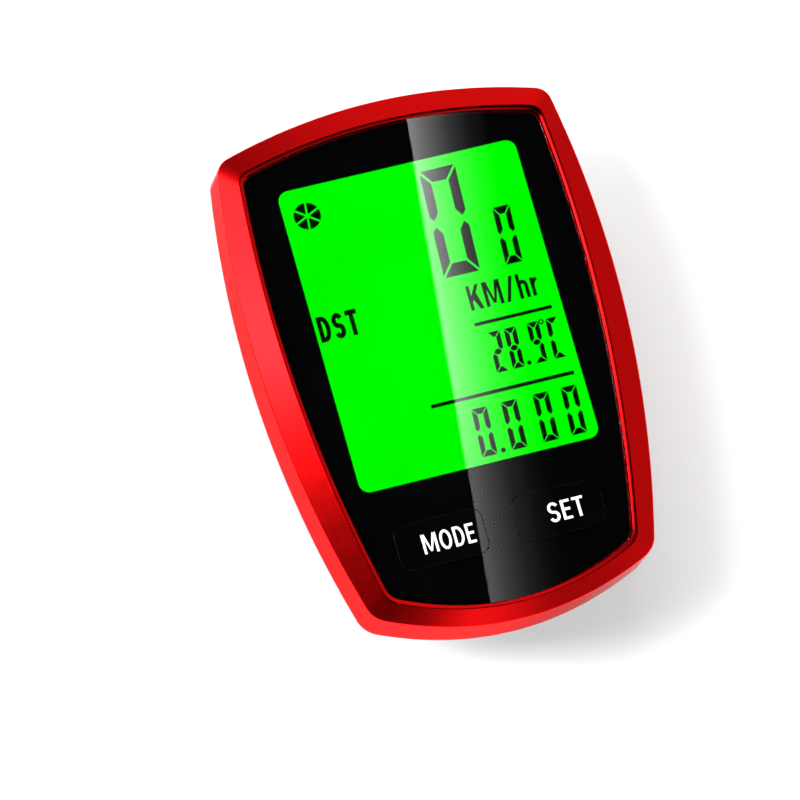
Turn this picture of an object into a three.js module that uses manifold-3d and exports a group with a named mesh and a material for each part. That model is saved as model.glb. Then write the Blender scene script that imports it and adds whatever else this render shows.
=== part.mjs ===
// Wireless cycling computer with its handlebar bracket, in millimetres.
// +Z is out of the screen, +Y is towards the top of the screen.
// The origin is under the middle of the head unit, on the plane the bracket's pad stands on.
import * as THREE from 'three';
import { mergeVertices } from 'three/addons/utils/BufferGeometryUtils.js';
import Module from 'manifold-3d';

const wasm = await Module();
wasm.setup();

// ---------------------------------------------------------------- driving dimensions
// Outlines: half widths and heights of the virtual corners, bulge of each side, corner rounding.
const BODY = { xt: 21.0, yt: 29.75, xb: 17.75, yb: 28.7, top: 3.25, bottom: 4.3, side: 3.34,
  rt: 1.4, rb: 1.5 };
const LENS = { xt: 18.7, yt: 27.0, xb: 15.25, yb: 26.9, top: 2.65, bottom: 3.8, side: 2.2,
  rt: 1.1, rb: 1.1 };
const OUTLINE_STEPS = { arch: 10, side: 14, corner: 4 };

const GAP = 0.05;             // between pieces that rest on each other
const LENS_TOP = 20.9;        // outer face of the window
const LENS_T = 1.05;
const RIM_PROUD = 0.25;       // rim crest above the window
const CHAMFER_H = 1.3;        // side wall ends this far below the window's face
const RED_WALL_H = 9.0;       // window's face to the lower edge of the red shell
const SEAM_Z = LENS_TOP - RED_WALL_H;
const CASE_Z0 = 8.3;          // underside of the rear case
const CASE_FLOOR = 1.3;
const WALL = 1.5;             // red shell's skirt
const TONGUE_TOP = SEAM_Z + 1.4;

const SEAT_Z = LENS_TOP - LENS_T - GAP;      // ledge that carries the window
const LEDGE_T = 0.65;
const LEDGE_W = 1.2;
const FILM = { z0: SEAT_Z - 0.25, z1: SEAT_Z - GAP, inset: 1.35 };
const SCREEN = { w: 30.2, y0: -13.9, y1: 24.4, r: 1.3 };

const KEY = { x: 7.4, y: -21.6, w: 11.0, h: 5.6, r: 1.3, gap: 0.15, flange: 0.6, stem: 1.4, travel: 0.5 };
const SWITCH = { size: 4.6, h: 1.9, plunger: 0.9, top: 2.65, floor: 0.5 };

const BOARD = { z0: 12.0, z1: 13.0, inset: 2.95 };
const GLASS = { x: 15.9, y0: -17.2, y1: 25.4, ledge: -14.9, t: 0.55 };
const HOLDER = { x: 16.95, y0: -18.05, y1: 26.2, z1: 18.9, pocket: 15.6, wall: 0.9, wellX: 14.6,
  wellY1: 24.4, bottomWall: 0.75, topWall: 0.7 };
const GUIDE_T = 1.5;

const CASE_SCREWS = [[15.8, 27.3], [-15.8, 27.3], [11.5, -27.3], [-11.5, -27.3]];
const POST_R = 1.6;
const CASE_SCREW = { head: 1.15, headH: 1.05, shank: 0.6, seat: 10.0, tip: 17.0, recess: 1.35, pilot: 0.65 };
const BOARD_SCREWS = [[15.1, 4], [-15.1, 4]];
const BOARD_SCREW = { head: 1.3, headH: 0.8, shank: 0.5, tip: 15.0, boss: 1.5 };

const CELL = { r: 10.0, h: 3.2, z0: 7.1 };   // 2032 coin cell
const BAY = { r: 10.4, wall: 1.2, top: 11.3, sealR: 11.4, sealZ: 6.9, sealTop: 7.7 };
const COVER = { r: 11.3, mouth: 11.45, z0: 5.05, z1: 6.75, lugR: 12.2, lugZ: 6.15, grooveR: 12.4,
  grooveZ: 6.0 };
const COVER_LUG_DEG = 20;
const COVER_TURN_DEG = 50;
const COIN_SLOT = { w: 14, h: 2.0, depth: 0.9 };

const FOOT = { x: 15.0, neck: 13.4, y0: -14, y1: 17, z0: 4.95, flangeTop: 6.45 };
const NOTCH = { x: 3.2, y0: 14.3, y1: 16.1, depth: 1.2 };
const SLIDE_GAP = 0.25;

const PAD = { x: 16.5, y0: -13.5, y1: 9.5, h: 2.6, barR: 25, land: 3.3 };
const DOCK = { z0: PAD.h + GAP, t: 2.0, x: 17.6, y: 21, r: 3, railTop: 8.0, railY1: 14, stop: 2.0 };
const DOCK_TOP = DOCK.z0 + DOCK.t;
const STRAP = { x: 11, y: 18.7, w: 3.6, h: 1.8 };
const LATCH = { x: 4.6, y0: 7.0, y1: 25.5, z0: 3.35, z1: 4.6, pinY: 8.3, pinZ: 3.9, pinR: 0.5,
  window: 5.0, tab: 1.2 };
const HOOK = { x: 2.9, y0: 14.5, y1: 15.9, top: 5.6 };
const ROUND = 40;             // sides of a large circle
const SMALL_ROUND = 16;       // sides of a small one

// ---------------------------------------------------------------- helpers
const rad = THREE.MathUtils.degToRad;

/** The same outline drawn in from its edge by d (out, when d is negative). */
function inset(spec, d) {
  const round = (r) => Math.max(r - d * 0.5, 0.6);
  return { ...spec, xt: spec.xt - d, yt: spec.yt - d, xb: spec.xb - d, yb: spec.yb - d,
    rt: round(spec.rt), rb: round(spec.rb) };
}

/** Shield outline: four bulged sides and four eased corners, as points running anticlockwise. */
function outline(spec) {
  const tr = new THREE.Vector2(spec.xt, spec.yt);
  const tl = new THREE.Vector2(-spec.xt, spec.yt);
  const bl = new THREE.Vector2(-spec.xb, -spec.yb);
  const br = new THREE.Vector2(spec.xb, -spec.yb);
  const sides = [
    { from: tr, to: tl, bulge: spec.top, cuts: [spec.rt, spec.rt], steps: OUTLINE_STEPS.arch },
    { from: tl, to: bl, bulge: spec.side, cuts: [spec.rt, spec.rb], steps: OUTLINE_STEPS.side },
    { from: bl, to: br, bulge: spec.bottom, cuts: [spec.rb, spec.rb], steps: OUTLINE_STEPS.arch },
    { from: br, to: tr, bulge: spec.side, cuts: [spec.rb, spec.rt], steps: OUTLINE_STEPS.side },
  ];
  const stretches = sides.map(bulgedSide);
  const points = [];
  stretches.forEach((stretch, i) => {
    const next = stretches[(i + 1) % stretches.length];
    const corner = new THREE.QuadraticBezierCurve(stretch.at(-1), sides[i].to, next[0]);
    points.push(...stretch, ...corner.getPoints(OUTLINE_STEPS.corner).slice(1, -1));
  });
  return points;
}

/** Points of a parabola from one corner to the next, without the lengths that the corners take. */
function bulgedSide({ from, to, bulge, cuts, steps }) {
  const along = to.clone().sub(from);
  const length = along.length();
  const outward = new THREE.Vector2(along.y, -along.x).divideScalar(length);
  const start = cuts[0] / length;
  const end = 1 - cuts[1] / length;
  return Array.from({ length: steps + 1 }, (_, i) => {
    const t = start + (end - start) * i / steps;
    return from.clone().addScaledVector(along, t).addScaledVector(outward, 4 * bulge * t * (1 - t));
  });
}

/** Rectangle with round corners, centred at x, y. */
function roundRect(w, h, r, x = 0, y = 0) {
  const shape = new THREE.Shape();
  const corners = [[w / 2 - r, -h / 2 + r, -90], [w / 2 - r, h / 2 - r, 0],
    [-w / 2 + r, h / 2 - r, 90], [-w / 2 + r, -h / 2 + r, 180]];
  for (const [cx, cy, a] of corners) shape.absarc(x + cx, y + cy, r, rad(a), rad(a + 90), false);
  return shape.getPoints(4);
}

/** Flat plate between two heights, from an outline and any holes in it. */
function plate(points, z0, z1, holes = []) {
  const shape = new THREE.Shape(points);
  shape.holes = holes.map((hole) => new THREE.Path(hole));
  return new THREE.ExtrudeGeometry(shape, { depth: z1 - z0, bevelEnabled: false }).translate(0, 0, z0);
}

/** Skin over a list of rings [points, z]. A ring tube closes on itself; a stack gets flat ends. */
function loft(rings, closed) {
  const n = rings[0][0].length;
  const position = rings.flatMap(([points, z]) => points.flatMap((p) => [p.x, p.y, z]));
  const index = [];
  const bands = closed ? rings.length : rings.length - 1;
  for (let i = 0; i < bands; i += 1) {
    const a = i * n;
    const b = ((i + 1) % rings.length) * n;
    for (let k = 0; k < n; k += 1) {
      const m = (k + 1) % n;
      index.push(a + k, a + m, b + m, a + k, b + m, b + k);
    }
  }
  if (!closed) {
    const lastRing = (rings.length - 1) * n;
    const cap = (points) => THREE.ShapeUtils.triangulateShape(points, []);
    for (const [a, b, c] of cap(rings[0][0])) index.push(a, c, b);
    for (const [a, b, c] of cap(rings.at(-1)[0])) index.push(lastRing + a, lastRing + b, lastRing + c);
  }
  const geometry = new THREE.BufferGeometry();
  geometry.setAttribute('position', new THREE.Float32BufferAttribute(position, 3));
  geometry.setIndex(index);
  return geometry;
}

/** Box from its lowest to its highest corner. */
function box(x0, x1, y0, y1, z0, z1) {
  return new THREE.BoxGeometry(x1 - x0, y1 - y0, z1 - z0)
    .translate((x0 + x1) / 2, (y0 + y1) / 2, (z0 + z1) / 2);
}

/** Upright cylinder between two heights. */
function disc(r, z0, z1, x = 0, y = 0, sides = SMALL_ROUND) {
  return new THREE.CylinderGeometry(r, r, z1 - z0, sides)
    .rotateX(Math.PI / 2).translate(x, y, (z0 + z1) / 2);
}

/** Cylinder along X. */
function rod(r, x0, x1, y, z) {
  return new THREE.CylinderGeometry(r, r, x1 - x0, SMALL_ROUND)
    .rotateZ(Math.PI / 2).translate((x0 + x1) / 2, y, z);
}

/** Sector of a flat ring, from one angle to another in degrees. */
function ringSector(r0, r1, from, to, z0, z1) {
  const shape = new THREE.Shape();
  shape.absarc(0, 0, r1, rad(from), rad(to), false);
  shape.absarc(0, 0, r0, rad(to), rad(from), true);
  return new THREE.ExtrudeGeometry(shape, { depth: z1 - z0, bevelEnabled: false, curveSegments: 5 })
    .translate(0, 0, z0);
}

/** Bent metal strip: a line of [u, v] points thickened to t and given a width along the third axis. */
function strip(points, t, width) {
  const line = points.map(([u, v]) => new THREE.Vector2(u, v));
  const side = (sign) => line.map((p, i) => {
    const before = line[Math.max(i - 1, 0)];
    const after = line[Math.min(i + 1, line.length - 1)];
    const along = after.clone().sub(before).normalize();
    return new THREE.Vector2(p.x - along.y * sign * t / 2, p.y + along.x * sign * t / 2);
  });
  const shape = new THREE.Shape([...side(-1), ...side(1).reverse()]);
  return new THREE.ExtrudeGeometry(shape, { depth: width, bevelEnabled: false }).translate(0, 0, -width / 2);
}

/** Closed mesh as a solid that can be joined and cut. */
function solid(geometry) {
  const bare = geometry.clone();
  bare.deleteAttribute('normal');
  bare.deleteAttribute('uv');
  const merged = mergeVertices(bare, 1e-4);
  const mesh = new wasm.Mesh({
    numProp: 3,
    vertProperties: new Float32Array(merged.attributes.position.array),
    triVerts: new Uint32Array(merged.index.array),
  });
  return new wasm.Manifold(mesh);
}

/** Solid back to a geometry. */
function toGeometry(manifold) {
  const { vertProperties, triVerts } = manifold.getMesh();
  const geometry = new THREE.BufferGeometry();
  geometry.setAttribute('position', new THREE.BufferAttribute(vertProperties, 3));
  geometry.setIndex(new THREE.BufferAttribute(triVerts, 1));
  return geometry;
}

/** Base with pieces joined to it and then other pieces cut from it. */
function shaped(base, { join = [], cut = [] }) {
  let result = solid(base);
  for (const piece of join) result = result.add(solid(piece));
  for (const piece of cut) result = result.subtract(solid(piece));
  return toGeometry(result);
}

/** What two shapes have in common. */
function common(a, b) {
  return toGeometry(solid(a).intersect(solid(b)));
}

// ---------------------------------------------------------------- front of the head unit
function frontBezel() {
  const clear = 0.06;
  const section = [
    [inset(BODY, -0.1), SEAM_Z + GAP],
    [BODY, LENS_TOP - CHAMFER_H],
    [inset(LENS, -0.7), LENS_TOP + RIM_PROUD - 0.05],
    [inset(LENS, -0.5), LENS_TOP + RIM_PROUD],
    [inset(LENS, -clear), LENS_TOP - 0.05],
    [inset(LENS, -clear), SEAT_Z],
    [inset(LENS, LEDGE_W), SEAT_Z],
    [inset(LENS, LEDGE_W), SEAT_Z - LEDGE_T],
    [inset(BODY, 2.7), SEAT_Z - LEDGE_T],
    [inset(BODY, 2.7), TONGUE_TOP + 0.8],
    [inset(BODY, WALL), TONGUE_TOP + 0.8],
    [inset(BODY, WALL), SEAM_Z + GAP],
  ];
  const shell = loft(section.map(([spec, z]) => [outline(spec), z]), true);
  const postTop = SEAT_Z - LEDGE_T + 0.1;
  const reach = plate(outline(inset(BODY, 2.65)), TONGUE_TOP + 0.1, postTop + 1);
  const posts = CASE_SCREWS.map(([x, y]) => common(disc(POST_R, TONGUE_TOP + 0.1, postTop, x, y), reach));
  const pilots = CASE_SCREWS.map(([x, y]) => disc(CASE_SCREW.pilot, SEAM_Z, CASE_SCREW.tip + 0.4, x, y));
  return shaped(shell, { join: posts, cut: pilots });
}

function keyHole(side) {
  const w = KEY.w + 2 * KEY.gap;
  const h = KEY.h + 2 * KEY.gap;
  return roundRect(w, h, KEY.r + KEY.gap, side * KEY.x, KEY.y);
}

function windowLens() {
  return plate(outline(LENS), SEAT_Z + GAP, LENS_TOP, [keyHole(-1), keyHole(1)]);
}

function panelMask() {
  const screen = roundRect(SCREEN.w, SCREEN.y1 - SCREEN.y0, SCREEN.r, 0, (SCREEN.y0 + SCREEN.y1) / 2);
  return plate(outline(inset(LENS, FILM.inset)), FILM.z0, FILM.z1, [screen, keyHole(-1), keyHole(1)]);
}

const KEY_FLANGE_TOP = FILM.z0 - GAP;
const PLUNGER_TOP = BOARD.z1 + GAP + SWITCH.top;

function keyCap(side) {
  const x = side * KEY.x;
  const cap = plate(roundRect(KEY.w, KEY.h, KEY.r, x, KEY.y), KEY_FLANGE_TOP - 0.2, LENS_TOP);
  const w = KEY.w + 2 * KEY.flange;
  const h = KEY.h + 2 * KEY.flange;
  const flange = plate(roundRect(w, h, KEY.r, x, KEY.y), KEY_FLANGE_TOP - 0.6, KEY_FLANGE_TOP);
  const stem = disc(KEY.stem, PLUNGER_TOP + GAP, KEY_FLANGE_TOP - 0.3, x, KEY.y);
  return shaped(cap, { join: [flange, stem] });
}

// ---------------------------------------------------------------- display
function sheet(yEnd, z0, z1, margin = 0) {
  return box(-GLASS.x + margin, GLASS.x - margin, yEnd + margin, GLASS.y1 - margin, z0, z1);
}

/** Layers of the display from the front, each under the one before. */
function displayLayers() {
  const layers = [
    ['lcd_front_polariser', 0.2, GLASS.ledge, 0.2],
    ['lcd_front_glass', GLASS.t, GLASS.y0, 0],
    ['lcd_rear_glass', GLASS.t, GLASS.ledge, 0],
    ['lcd_diffuser', 0.2, GLASS.ledge, 0],
    ['light_guide', GUIDE_T, GLASS.ledge, 0],
    ['reflector_film', 0.2, GLASS.ledge, 0],
  ];
  let top = SEAT_Z - LEDGE_T - GAP;
  const made = {};
  for (const [name, t, yEnd, margin] of layers) {
    made[name] = sheet(yEnd, top - t, top, margin);
    top -= t + GAP;
  }
  return made;
}

function lcdHolder() {
  const body = box(-HOLDER.x, HOLDER.x, HOLDER.y0, HOLDER.y1, BOARD.z1 + GAP, HOLDER.z1);
  const pocketX = HOLDER.x - HOLDER.wall;
  const y0 = HOLDER.y0 + HOLDER.bottomWall;
  const pocket = box(-pocketX, pocketX, y0, HOLDER.y1 - HOLDER.topWall, HOLDER.pocket, HOLDER.z1 + 1);
  const well = box(-HOLDER.wellX, HOLDER.wellX, y0, HOLDER.wellY1, BOARD.z1, HOLDER.z1);
  const bosses = BOARD_SCREWS.map(([x, y]) => disc(BOARD_SCREW.boss, BOARD.z1 + GAP, HOLDER.pocket, x, y));
  const bores = BOARD_SCREWS.map(([x, y]) =>
    disc(BOARD_SCREW.shank + GAP, BOARD.z0, BOARD_SCREW.tip + 0.3, x, y));
  const posts = CASE_SCREWS.map(([x, y]) => disc(POST_R + 0.3, BOARD.z0, HOLDER.z1 + 1, x, y));
  const frame = shaped(body, { cut: [pocket, well, ...posts] });
  return shaped(frame, { join: bosses, cut: bores });
}

function backlightLed(side) {
  return box(side * 9 - 1.2, side * 9 + 1.2, 22.4, 23.6, BOARD.z1 + GAP, 15.45);
}

function zebraConnector() {
  const glassUnderside = SEAT_Z - LEDGE_T - GAP - 0.2 - GAP - GLASS.t;
  return box(-14.3, 14.3, GLASS.y0 + 0.1, GLASS.ledge - 0.8, BOARD.z1 + GAP, glassUnderside - GAP);
}

// ---------------------------------------------------------------- board and its parts
function mainBoard() {
  const board = plate(outline(inset(BODY, BOARD.inset)), BOARD.z0, BOARD.z1);
  const posts = CASE_SCREWS.map(([x, y]) => disc(POST_R + 0.5, BOARD.z0 - 1, BOARD.z1 + 1, x, y));
  const holes = BOARD_SCREWS.map(([x, y]) =>
    disc(BOARD_SCREW.shank + 0.25, BOARD.z0 - 1, BOARD.z1 + 1, x, y));
  return shaped(board, { cut: [...posts, ...holes] });
}

function boardScrew([x, y]) {
  const under = BOARD.z0 - GAP;
  const head = disc(BOARD_SCREW.head, under - BOARD_SCREW.headH, under, x, y);
  return shaped(head, { join: [disc(BOARD_SCREW.shank, under - 0.1, BOARD_SCREW.tip, x, y)] });
}

function switchBody(side) {
  const half = SWITCH.size / 2;
  const x = side * KEY.x;
  const z0 = BOARD.z1 + GAP;
  const can = box(x - half, x + half, KEY.y - half, KEY.y + half, z0, z0 + SWITCH.h);
  return shaped(can, { cut: [disc(SWITCH.plunger + 0.12, z0 + SWITCH.floor, z0 + SWITCH.top, x, KEY.y)] });
}

function switchPlunger(side) {
  const foot = BOARD.z1 + GAP + SWITCH.floor + KEY.travel + GAP;
  return disc(SWITCH.plunger, foot, PLUNGER_TOP, side * KEY.x, KEY.y);
}

function antennaCore() {
  const top = BOARD.z0 - GAP;
  const end = (side) => box(side * 5.6 - 0.4, side * 5.6 + 0.4, 19.6, 22.4, 9.8, top);
  return shaped(box(-5.6, 5.6, 20, 22, 10.2, 11.2), { join: [end(-1), end(1)] });
}

function antennaCoil() {
  return shaped(box(-5, 5, 19.5, 22.5, 9.8, 11.6), { cut: [box(-6, 6, 19.9, 22.1, 10.1, 11.3)] });
}

/** Leaf that presses on the flat side of the cell. */
function contactNegative() {
  return strip([[-4, 11.8], [3, 11.8], [4.2, 11.25], [3.4, 10.75], [-2.5, 10.55], [-4.2, 10.95]], 0.2, 4)
    .rotateX(Math.PI / 2);
}

/** Strip that bears on the rim of the cell. */
function contactPositive() {
  return strip([[12.6, 11.8], [10.9, 11.8], [10.3, 11.2], [10.3, 8.1]], 0.2, 5).rotateX(Math.PI / 2);
}

// ---------------------------------------------------------------- rear of the head unit
function rearCase() {
  const floorTop = CASE_Z0 + CASE_FLOOR;
  const skin = [[2.0, CASE_Z0], [1.0, CASE_Z0 + 0.9], [0.4, SEAM_Z]];
  const inside = [[1.65, SEAM_Z], [1.65, TONGUE_TOP], [2.65, TONGUE_TOP], [2.65, floorTop + 0.9],
    [3.4, floorTop]];
  const rings = (list) => list.map(([d, z]) => [outline(inset(BODY, d)), z]);
  const shell = loft(rings([...skin, ...inside]), false);
  const hull = loft(rings([...skin, [1.7, SEAM_Z], [1.7, TONGUE_TOP]]), false);
  const posts = CASE_SCREWS.map(([x, y]) => common(disc(POST_R + 0.3, CASE_Z0, TONGUE_TOP, x, y), hull));
  const rests = [[0, -27], [0, 26.5], [18, -4], [-18, -4]]
    .map(([x, y]) => disc(1.2, floorTop - 0.2, BOARD.z0 - GAP, x, y));
  const neck = box(-FOOT.neck, FOOT.neck, FOOT.y0, FOOT.y1, FOOT.z0, CASE_Z0 + 0.1);
  const flange = box(-FOOT.x, FOOT.x, FOOT.y0, FOOT.y1, FOOT.z0, FOOT.flangeTop);
  const bayWall = disc(BAY.r + BAY.wall, CASE_Z0, BAY.top, 0, 0, ROUND);
  const recesses = CASE_SCREWS.map(([x, y]) => disc(CASE_SCREW.recess, CASE_Z0 - 1, CASE_SCREW.seat, x, y));
  const holes = CASE_SCREWS.map(([x, y]) => disc(CASE_SCREW.shank + 0.15, CASE_Z0, TONGUE_TOP + 1, x, y));
  const contactSlot = box(9.9, 11.05, -3, 3, 7.95, BAY.top + 1);
  const notch = box(-NOTCH.x, NOTCH.x, NOTCH.y0, NOTCH.y1, FOOT.z0 - 1, FOOT.z0 + NOTCH.depth);
  return shaped(shell, {
    join: [...posts, ...rests, neck, flange, bayWall],
    cut: [...bayBores(), ...recesses, ...holes, contactSlot, notch],
  });
}

/** Bores of the battery bay: mouth, bayonet groove with its entries, seal seat and cell pocket. */
function bayBores() {
  const entries = [0, 120, 240].map((a) => {
    const middle = a - COVER_TURN_DEG;
    const half = COVER_LUG_DEG / 2 + 2;
    const z0 = FOOT.z0 - 1;
    return ringSector(COVER.mouth - 1, COVER.grooveR, middle - half, middle + half, z0, COVER.grooveZ + 0.1);
  });
  return [
    disc(COVER.mouth, FOOT.z0 - 1, COVER.grooveZ + 0.1, 0, 0, ROUND),
    disc(COVER.grooveR, COVER.grooveZ, BAY.sealZ, 0, 0, ROUND),
    disc(BAY.sealR, COVER.grooveZ, BAY.sealTop, 0, 0, ROUND),
    disc(BAY.r, COVER.grooveZ, BAY.top + 1, 0, 0, ROUND),
    ...entries,
  ];
}

function batteryCover() {
  const lid = disc(COVER.r, COVER.z0, COVER.z1, 0, 0, ROUND);
  const lugs = [0, 120, 240].map((a) => {
    const half = COVER_LUG_DEG / 2;
    return ringSector(COVER.r - 1, COVER.lugR, a - half, a + half, COVER.lugZ, COVER.z1);
  });
  const slot = plate(roundRect(COIN_SLOT.w, COIN_SLOT.h, 0.9), COVER.z0 - 1, COVER.z0 + COIN_SLOT.depth);
  return shaped(lid, { join: lugs, cut: [slot] });
}

function caseSeal() {
  const z0 = TONGUE_TOP + GAP;
  const z1 = TONGUE_TOP + 0.75;
  const corners = [[1.7, z0], [1.7, z1], [2.55, z1], [2.55, z0]];
  return loft(corners.map(([d, z]) => [outline(inset(BODY, d)), z]), true);
}

function batterySeal() {
  const radius = 10.95;
  return new THREE.TorusGeometry(radius, 0.36, 8, ROUND).translate(0, 0, (BAY.sealZ + BAY.sealTop) / 2);
}

function caseScrew([x, y]) {
  const seat = CASE_SCREW.seat - GAP;
  const head = disc(CASE_SCREW.head, seat - CASE_SCREW.headH, seat, x, y);
  const slot = box(x - 0.7, x + 0.7, y - 0.18, y + 0.18, seat - 2, seat - 0.6);
  const cross = box(x - 0.18, x + 0.18, y - 0.7, y + 0.7, seat - 2, seat - 0.6);
  const shank = disc(CASE_SCREW.shank, seat - 0.1, CASE_SCREW.tip, x, y);
  return shaped(head, { join: [shank], cut: [slot, cross] });
}

// ---------------------------------------------------------------- bracket
/** Box between two distances from the middle plane, on the side that s gives. */
function sideBox(s, near, far, y0, y1, z0, z1) {
  return box(Math.min(s * near, s * far), Math.max(s * near, s * far), y0, y1, z0, z1);
}

function dock() {
  const base = plate(roundRect(2 * DOCK.x, 2 * DOCK.y, DOCK.r), DOCK.z0, DOCK_TOP);
  const railY0 = FOOT.y0 - SLIDE_GAP - DOCK.stop;
  const wallX = FOOT.x + SLIDE_GAP;
  const lipX = FOOT.neck + SLIDE_GAP;
  const lipZ = FOOT.flangeTop + SLIDE_GAP;
  const rails = [-1, 1].flatMap((s) => [
    sideBox(s, wallX, DOCK.x, railY0, DOCK.railY1, DOCK_TOP - 0.1, DOCK.railTop),
    sideBox(s, lipX, DOCK.x, railY0, DOCK.railY1, lipZ, DOCK.railTop),
  ]);
  const stop = box(-DOCK.x, DOCK.x, railY0, railY0 + DOCK.stop, DOCK_TOP - 0.1, DOCK.railTop);
  const slots = [[1, 1], [1, -1], [-1, 1], [-1, -1]].map(([sx, sy]) =>
    plate(roundRect(STRAP.w, STRAP.h, 0.5, sx * STRAP.x, sy * STRAP.y), 0, DOCK_TOP + 1));
  const latchWindow = box(-LATCH.window, LATCH.window, LATCH.y0 - 0.5, DOCK.y + 1, 0, DOCK_TOP + 1);
  const pinBore = rod(LATCH.pinR + 0.05, -LATCH.window - 1.8, LATCH.window + 1.8, LATCH.pinY, LATCH.pinZ);
  return shaped(base, { join: [...rails, stop], cut: [...slots, latchWindow, pinBore] });
}

function latchLever() {
  const profile = new THREE.Shape([
    new THREE.Vector2(LATCH.y0, LATCH.z0), new THREE.Vector2(LATCH.y1, LATCH.z0),
    new THREE.Vector2(LATCH.y1, LATCH.z1 + LATCH.tab),
    new THREE.Vector2(LATCH.y1 - 1.5, LATCH.z1 + LATCH.tab),
    new THREE.Vector2(LATCH.y1 - 3.2, LATCH.z1), new THREE.Vector2(LATCH.y0, LATCH.z1),
  ]);
  const arm = new THREE.ExtrudeGeometry(profile, { depth: 2 * LATCH.x, bevelEnabled: false });
  const hook = new THREE.ExtrudeGeometry(new THREE.Shape([
    new THREE.Vector2(HOOK.y0, LATCH.z1 - 0.1), new THREE.Vector2(HOOK.y1, LATCH.z1 - 0.1),
    new THREE.Vector2(HOOK.y0 + 0.6, HOOK.top), new THREE.Vector2(HOOK.y0, HOOK.top),
  ]), { depth: 2 * HOOK.x, bevelEnabled: false });
  // The profiles are drawn in Y and Z, so they are turned to stand across X.
  for (const [piece, half] of [[arm, LATCH.x], [hook, HOOK.x]]) {
    piece.translate(0, 0, -half).rotateY(Math.PI / 2).rotateX(Math.PI / 2);
  }
  const bore = rod(LATCH.pinR + 0.08, -LATCH.x - 1, LATCH.x + 1, LATCH.pinY, LATCH.pinZ);
  return shaped(arm, { join: [hook], cut: [bore] });
}

function latchPin() {
  return rod(LATCH.pinR, -LATCH.window - 1.6, LATCH.window + 1.6, LATCH.pinY, LATCH.pinZ);
}

function latchSpring() {
  const leaf = strip([[LATCH.y0 - 0.4, 2.95], [LATCH.y0 + 2.2, 2.85], [LATCH.y0 + 6, 3.12]], 0.25, 4);
  return leaf.rotateY(Math.PI / 2).rotateX(Math.PI / 2);
}

/** Rubber pad with a shallow hollow along X for the bar and a flat land either side of it. */
function dockPad() {
  const middle = (PAD.y0 + PAD.y1) / 2;
  const block = box(-PAD.x, PAD.x, PAD.y0, PAD.y1, 0, PAD.h);
  const grooveHalf = (PAD.y1 - PAD.y0) / 2 - PAD.land;
  const depth = PAD.barR - Math.sqrt(PAD.barR ** 2 - grooveHalf ** 2);
  const bar = new THREE.CylinderGeometry(PAD.barR, PAD.barR, 2 * PAD.x + 2, 96)
    .rotateZ(Math.PI / 2).translate(0, middle, depth - PAD.barR);
  return shaped(block, { cut: [bar] });
}

// ---------------------------------------------------------------- materials and assembly
const finish = (color, roughness, metalness = 0) =>
  new THREE.MeshStandardMaterial({ color, roughness, metalness });
const FINISH = {
  red: finish(0xd20a10, 0.22), ink: finish(0x050506, 0.12), clear: finish(0x18191b, 0.05),
  screen: finish(0x05f012, 0.2), glass: finish(0xbfe6c8, 0.05), guide: finish(0xe8f2ea, 0.1),
  white: finish(0xf0f0ec, 0.4), black: finish(0x111213, 0.55), rubber: finish(0x17181a, 0.85),
  board: finish(0x0d4a26, 0.45), steel: finish(0xb8babd, 0.3, 1), gold: finish(0xc79a4a, 0.3, 1),
  ferrite: finish(0x2b2b2d, 0.7), copper: finish(0xb06a35, 0.4, 1), zebra: finish(0xd98aa0, 0.8),
};

const part = new THREE.Group();

function add(name, geometry, material) {
  const mesh = new THREE.Mesh(geometry, material.clone());
  mesh.name = name;
  part.add(mesh);
}

add('front_bezel', frontBezel(), FINISH.red);
add('window_lens', windowLens(), FINISH.clear);
add('panel_mask', panelMask(), FINISH.ink);
for (const [name, side] of [['mode', -1], ['set', 1]]) {
  add(`${name}_key`, keyCap(side), FINISH.ink);
  add(`${name}_switch`, switchBody(side), FINISH.steel);
  add(`${name}_plunger`, switchPlunger(side), FINISH.black);
}

const layers = displayLayers();
const layerFinish = { lcd_front_polariser: FINISH.screen, lcd_diffuser: FINISH.white, light_guide: FINISH.guide,
  reflector_film: FINISH.white };
for (const [name, geometry] of Object.entries(layers)) {
  add(name, geometry, layerFinish[name] ?? FINISH.glass);
}
add('lcd_holder', lcdHolder(), FINISH.white);
add('zebra_connector', zebraConnector(), FINISH.zebra);
for (const [name, side] of [['left', -1], ['right', 1]]) {
  add(`backlight_led_${name}`, backlightLed(side), FINISH.white);
}

add('main_board', mainBoard(), FINISH.board);
BOARD_SCREWS.forEach((at, i) => add(`board_screw_${i + 1}`, boardScrew(at), FINISH.steel));
const underBoard = BOARD.z0 - GAP;
add('controller_chip', box(-3.5, 3.5, -22.5, -15.5, underBoard - 1.1, underBoard), FINISH.black);
add('crystal_can', rod(1, -13, -7, -18, underBoard - 1), FINISH.steel);
add('capacitor', disc(1.4, underBoard - 1.8, underBoard, 9, -18), FINISH.black);
add('antenna_core', antennaCore(), FINISH.ferrite);
add('antenna_coil', antennaCoil(), FINISH.copper);
add('contact_negative', contactNegative(), FINISH.gold);
add('contact_positive', contactPositive(), FINISH.gold);

add('battery_cell', disc(CELL.r, CELL.z0, CELL.z0 + CELL.h, 0, 0, ROUND), FINISH.steel);
add('battery_cover', batteryCover(), FINISH.black);
add('battery_seal', batterySeal(), FINISH.rubber);
add('rear_case', rearCase(), FINISH.black);
add('case_seal', caseSeal(), FINISH.rubber);
CASE_SCREWS.forEach((at, i) => add(`case_screw_${i + 1}`, caseScrew(at), FINISH.steel));

add('dock', dock(), FINISH.black);
add('latch_lever', latchLever(), FINISH.black);
add('latch_pin', latchPin(), FINISH.steel);
add('latch_spring', latchSpring(), FINISH.steel);
add('dock_pad', dockPad(), FINISH.rubber);

export default part;
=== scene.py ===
"""Looks of a wireless cycling computer on its handlebar bracket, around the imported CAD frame.

Lengths in this file are millimetres in the row frame (+Z out of the screen, +Y to its top),
and are turned into metres where a mesh is made.
"""

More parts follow.
